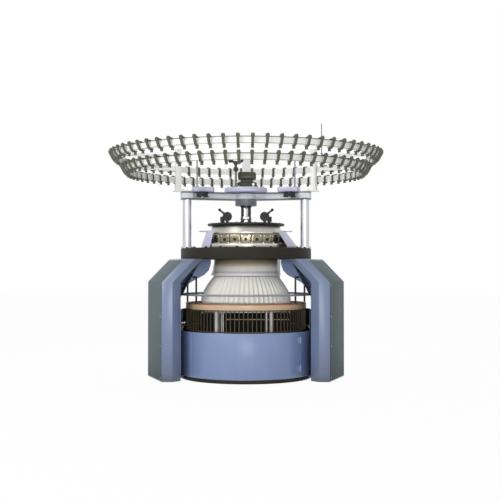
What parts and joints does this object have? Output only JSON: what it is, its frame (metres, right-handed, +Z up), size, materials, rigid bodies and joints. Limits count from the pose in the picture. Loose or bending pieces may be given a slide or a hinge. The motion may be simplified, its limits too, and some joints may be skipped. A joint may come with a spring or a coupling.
{
  "type": "circular knitting machine",
  "caption": "Circular knitting machine on three legs, with a rotating needle cylinder and fabric take-down, a curved front gate and two overhead rings of yarn feeders.",
  "frame": {"origin": "on the machine's vertical axis, at floor level, under the middle of the bounding box", "axes": "+Z up along the needle cylinder's axis, -Y towards the front gate, +X to the right as seen from the front"},
  "size_m": [2.736, 2.735, 2.5],
  "materials": {
    "blue_paint": "satin",
    "grey_paint": "satin",
    "black_cast": "satin",
    "bright_steel": "satin",
    "chrome": "polished",
    "dark_steel": "satin",
    "tan_paint": "satin",
    "grey_metal": "satin",
    "lavender_paint": "satin",
    "cream_paint": "satin",
    "white_paint": "satin",
    "aluminium_band": "satin",
    "olive_paint": "satin",
    "feeder_grey": "matte",
    "roller_rubber": "matte",
    "knit_fabric": "matte"
  },
  "bodies": {
    "frame": {"leg_cover_left": "blue_paint", "leg_cover_right": "blue_paint", "leg_cover_rear": "blue_paint", "leg_columns": "blue_paint", "fixed_guards": "blue_paint", "leg_side_panels": "grey_paint", "base_tray": "black_cast", "bed_plate": "black_cast", "gate_hinges": "bright_steel", "bearing_race": "bright_steel", "cam_base_ring": "bright_steel", "guide_rods": "bright_steel", "handle_stand": "bright_steel", "cam_boxes": "chrome", "dial_cap": "chrome", "posts": "chrome", "centre_sleeve": "chrome", "grille": "dark_steel", "levelling_feet": "dark_steel", "guard_hangers": "dark_steel", "dial_top_plate": "dark_steel", "clamp_bodies": "dark_steel", "main_motor": "dark_steel", "guard_ring": "tan_paint", "guard_hoop": "grey_metal", "neck_ring": "grey_metal", "upper_frame": "grey_metal", "guide_skirts": "grey_metal", "masts": "grey_metal", "deck": "lavender_paint", "arm_trays": "lavender_paint", "neck_skirt": "cream_paint", "ring_columns": "white_paint", "ring_arms": "white_paint", "feeder_ring_upper": "aluminium_band", "feeder_ring_lower": "aluminium_band", "top_gearbox": "olive_paint", "feeders_upper": "feeder_grey", "feeders_lower": "feeder_grey"},
    "cylinder": {"cylinder_gear": "bright_steel", "needle_cylinder": "bright_steel"},
    "dial": {"dial": "bright_steel", "dial_shaft": "bright_steel"},
    "motor": {"motor_pinion": "bright_steel"},
    "dial_drive": {"dial_drive_shaft": "bright_steel"},
    "lay": {"lay_shaft": "bright_steel"},
    "takedown": {"turntable": "bright_steel", "side_frames": "bright_steel", "guide_frame": "white_paint", "fabric_tube": "knit_fabric", "fabric_spreader": "aluminium_band"},
    "roller_front": {"roller_front": "roller_rubber"},
    "roller_rear": {"roller_rear": "roller_rubber"},
    "fabric_roll": {"fabric_roll": "knit_fabric"},
    "gate": {"front_gate": "blue_paint"},
    "lever_left": {"clamp_lever_left": "dark_steel"},
    "lever_right": {"clamp_lever_right": "dark_steel"},
    "pulley_left": {"belt_pulley_left": "dark_steel"},
    "pulley_right": {"belt_pulley_right": "dark_steel"},
    "handle": {"lobed_handle": "dark_steel"}
  },
  "joints": [
    {"name": "cylinder_spin", "type": "hinge", "parent": "frame", "child": "cylinder", "pos_m": [0, 0, 1.22], "axis": [0, 0, 1], "continuous": true},
    {"name": "dial_spin", "type": "hinge", "parent": "frame", "child": "dial", "pos_m": [0, 0, 1.41], "axis": [0, 0, 1], "continuous": true},
    {"name": "motor_spin", "type": "hinge", "parent": "frame", "child": "motor", "pos_m": [0.23497, 0.44192, 1.2], "axis": [0, 0, 1], "continuous": true},
    {"name": "dial_drive_spin", "type": "hinge", "parent": "frame", "child": "dial_drive", "pos_m": [0, 0.4485, 1.2], "axis": [0, 0, 1], "continuous": true},
    {"name": "lay_spin", "type": "hinge", "parent": "frame", "child": "lay", "pos_m": [-0.3175, 0.35262, 0.6], "axis": [0, 0, 1], "continuous": true},
    {"name": "takedown_spin", "type": "hinge", "parent": "frame", "child": "takedown", "pos_m": [0, 0, 0.08], "axis": [0, 0, 1], "continuous": true},
    {"name": "roller_front_spin", "type": "hinge", "parent": "takedown", "child": "roller_front", "pos_m": [0, -0.0348, 0.57], "axis": [1, 0, 0], "continuous": true},
    {"name": "roller_rear_spin", "type": "hinge", "parent": "takedown", "child": "roller_rear", "pos_m": [0, 0.0348, 0.57], "axis": [1, 0, 0], "continuous": true},
    {"name": "fabric_roll_spin", "type": "hinge", "parent": "takedown", "child": "fabric_roll", "pos_m": [0, 0.0778, 0.3], "axis": [1, 0, 0], "continuous": true},
    {"name": "gate_hinge", "type": "hinge", "parent": "frame", "child": "gate", "pos_m": [0.52291, -0.40597, 0.25], "axis": [0, 0, 1], "range_deg": [0, 90]},
    {"name": "lever_left_turn", "type": "hinge", "parent": "frame", "child": "lever_left", "pos_m": [-0.185, -0.13, 1.59], "axis": [0, 1, 0], "range_deg": [-30, 60]},
    {"name": "lever_right_turn", "type": "hinge", "parent": "frame", "child": "lever_right", "pos_m": [0.185, -0.13, 1.59], "axis": [0, 1, 0], "range_deg": [-60, 30]},
    {"name": "pulley_left_spin", "type": "hinge", "parent": "frame", "child": "pulley_left", "pos_m": [-0.42448, -0.23176, 1.8], "axis": [0, 0, 1], "continuous": true},
    {"name": "pulley_right_spin", "type": "hinge", "parent": "frame", "child": "pulley_right", "pos_m": [0.42448, -0.23176, 1.8], "axis": [0, 0, 1], "continuous": true},
    {"name": "handle_turn", "type": "hinge", "parent": "frame", "child": "handle", "pos_m": [-0.1, -0.1593, 2.112], "axis": [0, 1, 0], "range_deg": [-180, 180]}
  ],
  "couplings": [
    {"joint": "dial_spin", "follows": "cylinder_spin", "ratio": 1},
    {"joint": "takedown_spin", "follows": "cylinder_spin", "ratio": 1},
    {"joint": "motor_spin", "follows": "cylinder_spin", "ratio": -3.5294},
    {"joint": "dial_drive_spin", "follows": "cylinder_spin", "ratio": -6.6667},
    {"joint": "lay_spin", "follows": "cylinder_spin", "ratio": -4.6154},
    {"joint": "roller_front_spin", "follows": "cylinder_spin", "ratio": -0.35},
    {"joint": "roller_rear_spin", "follows": "cylinder_spin", "ratio": 0.35},
    {"joint": "fabric_roll_spin", "follows": "cylinder_spin", "ratio": 0.14933}
  ]
}
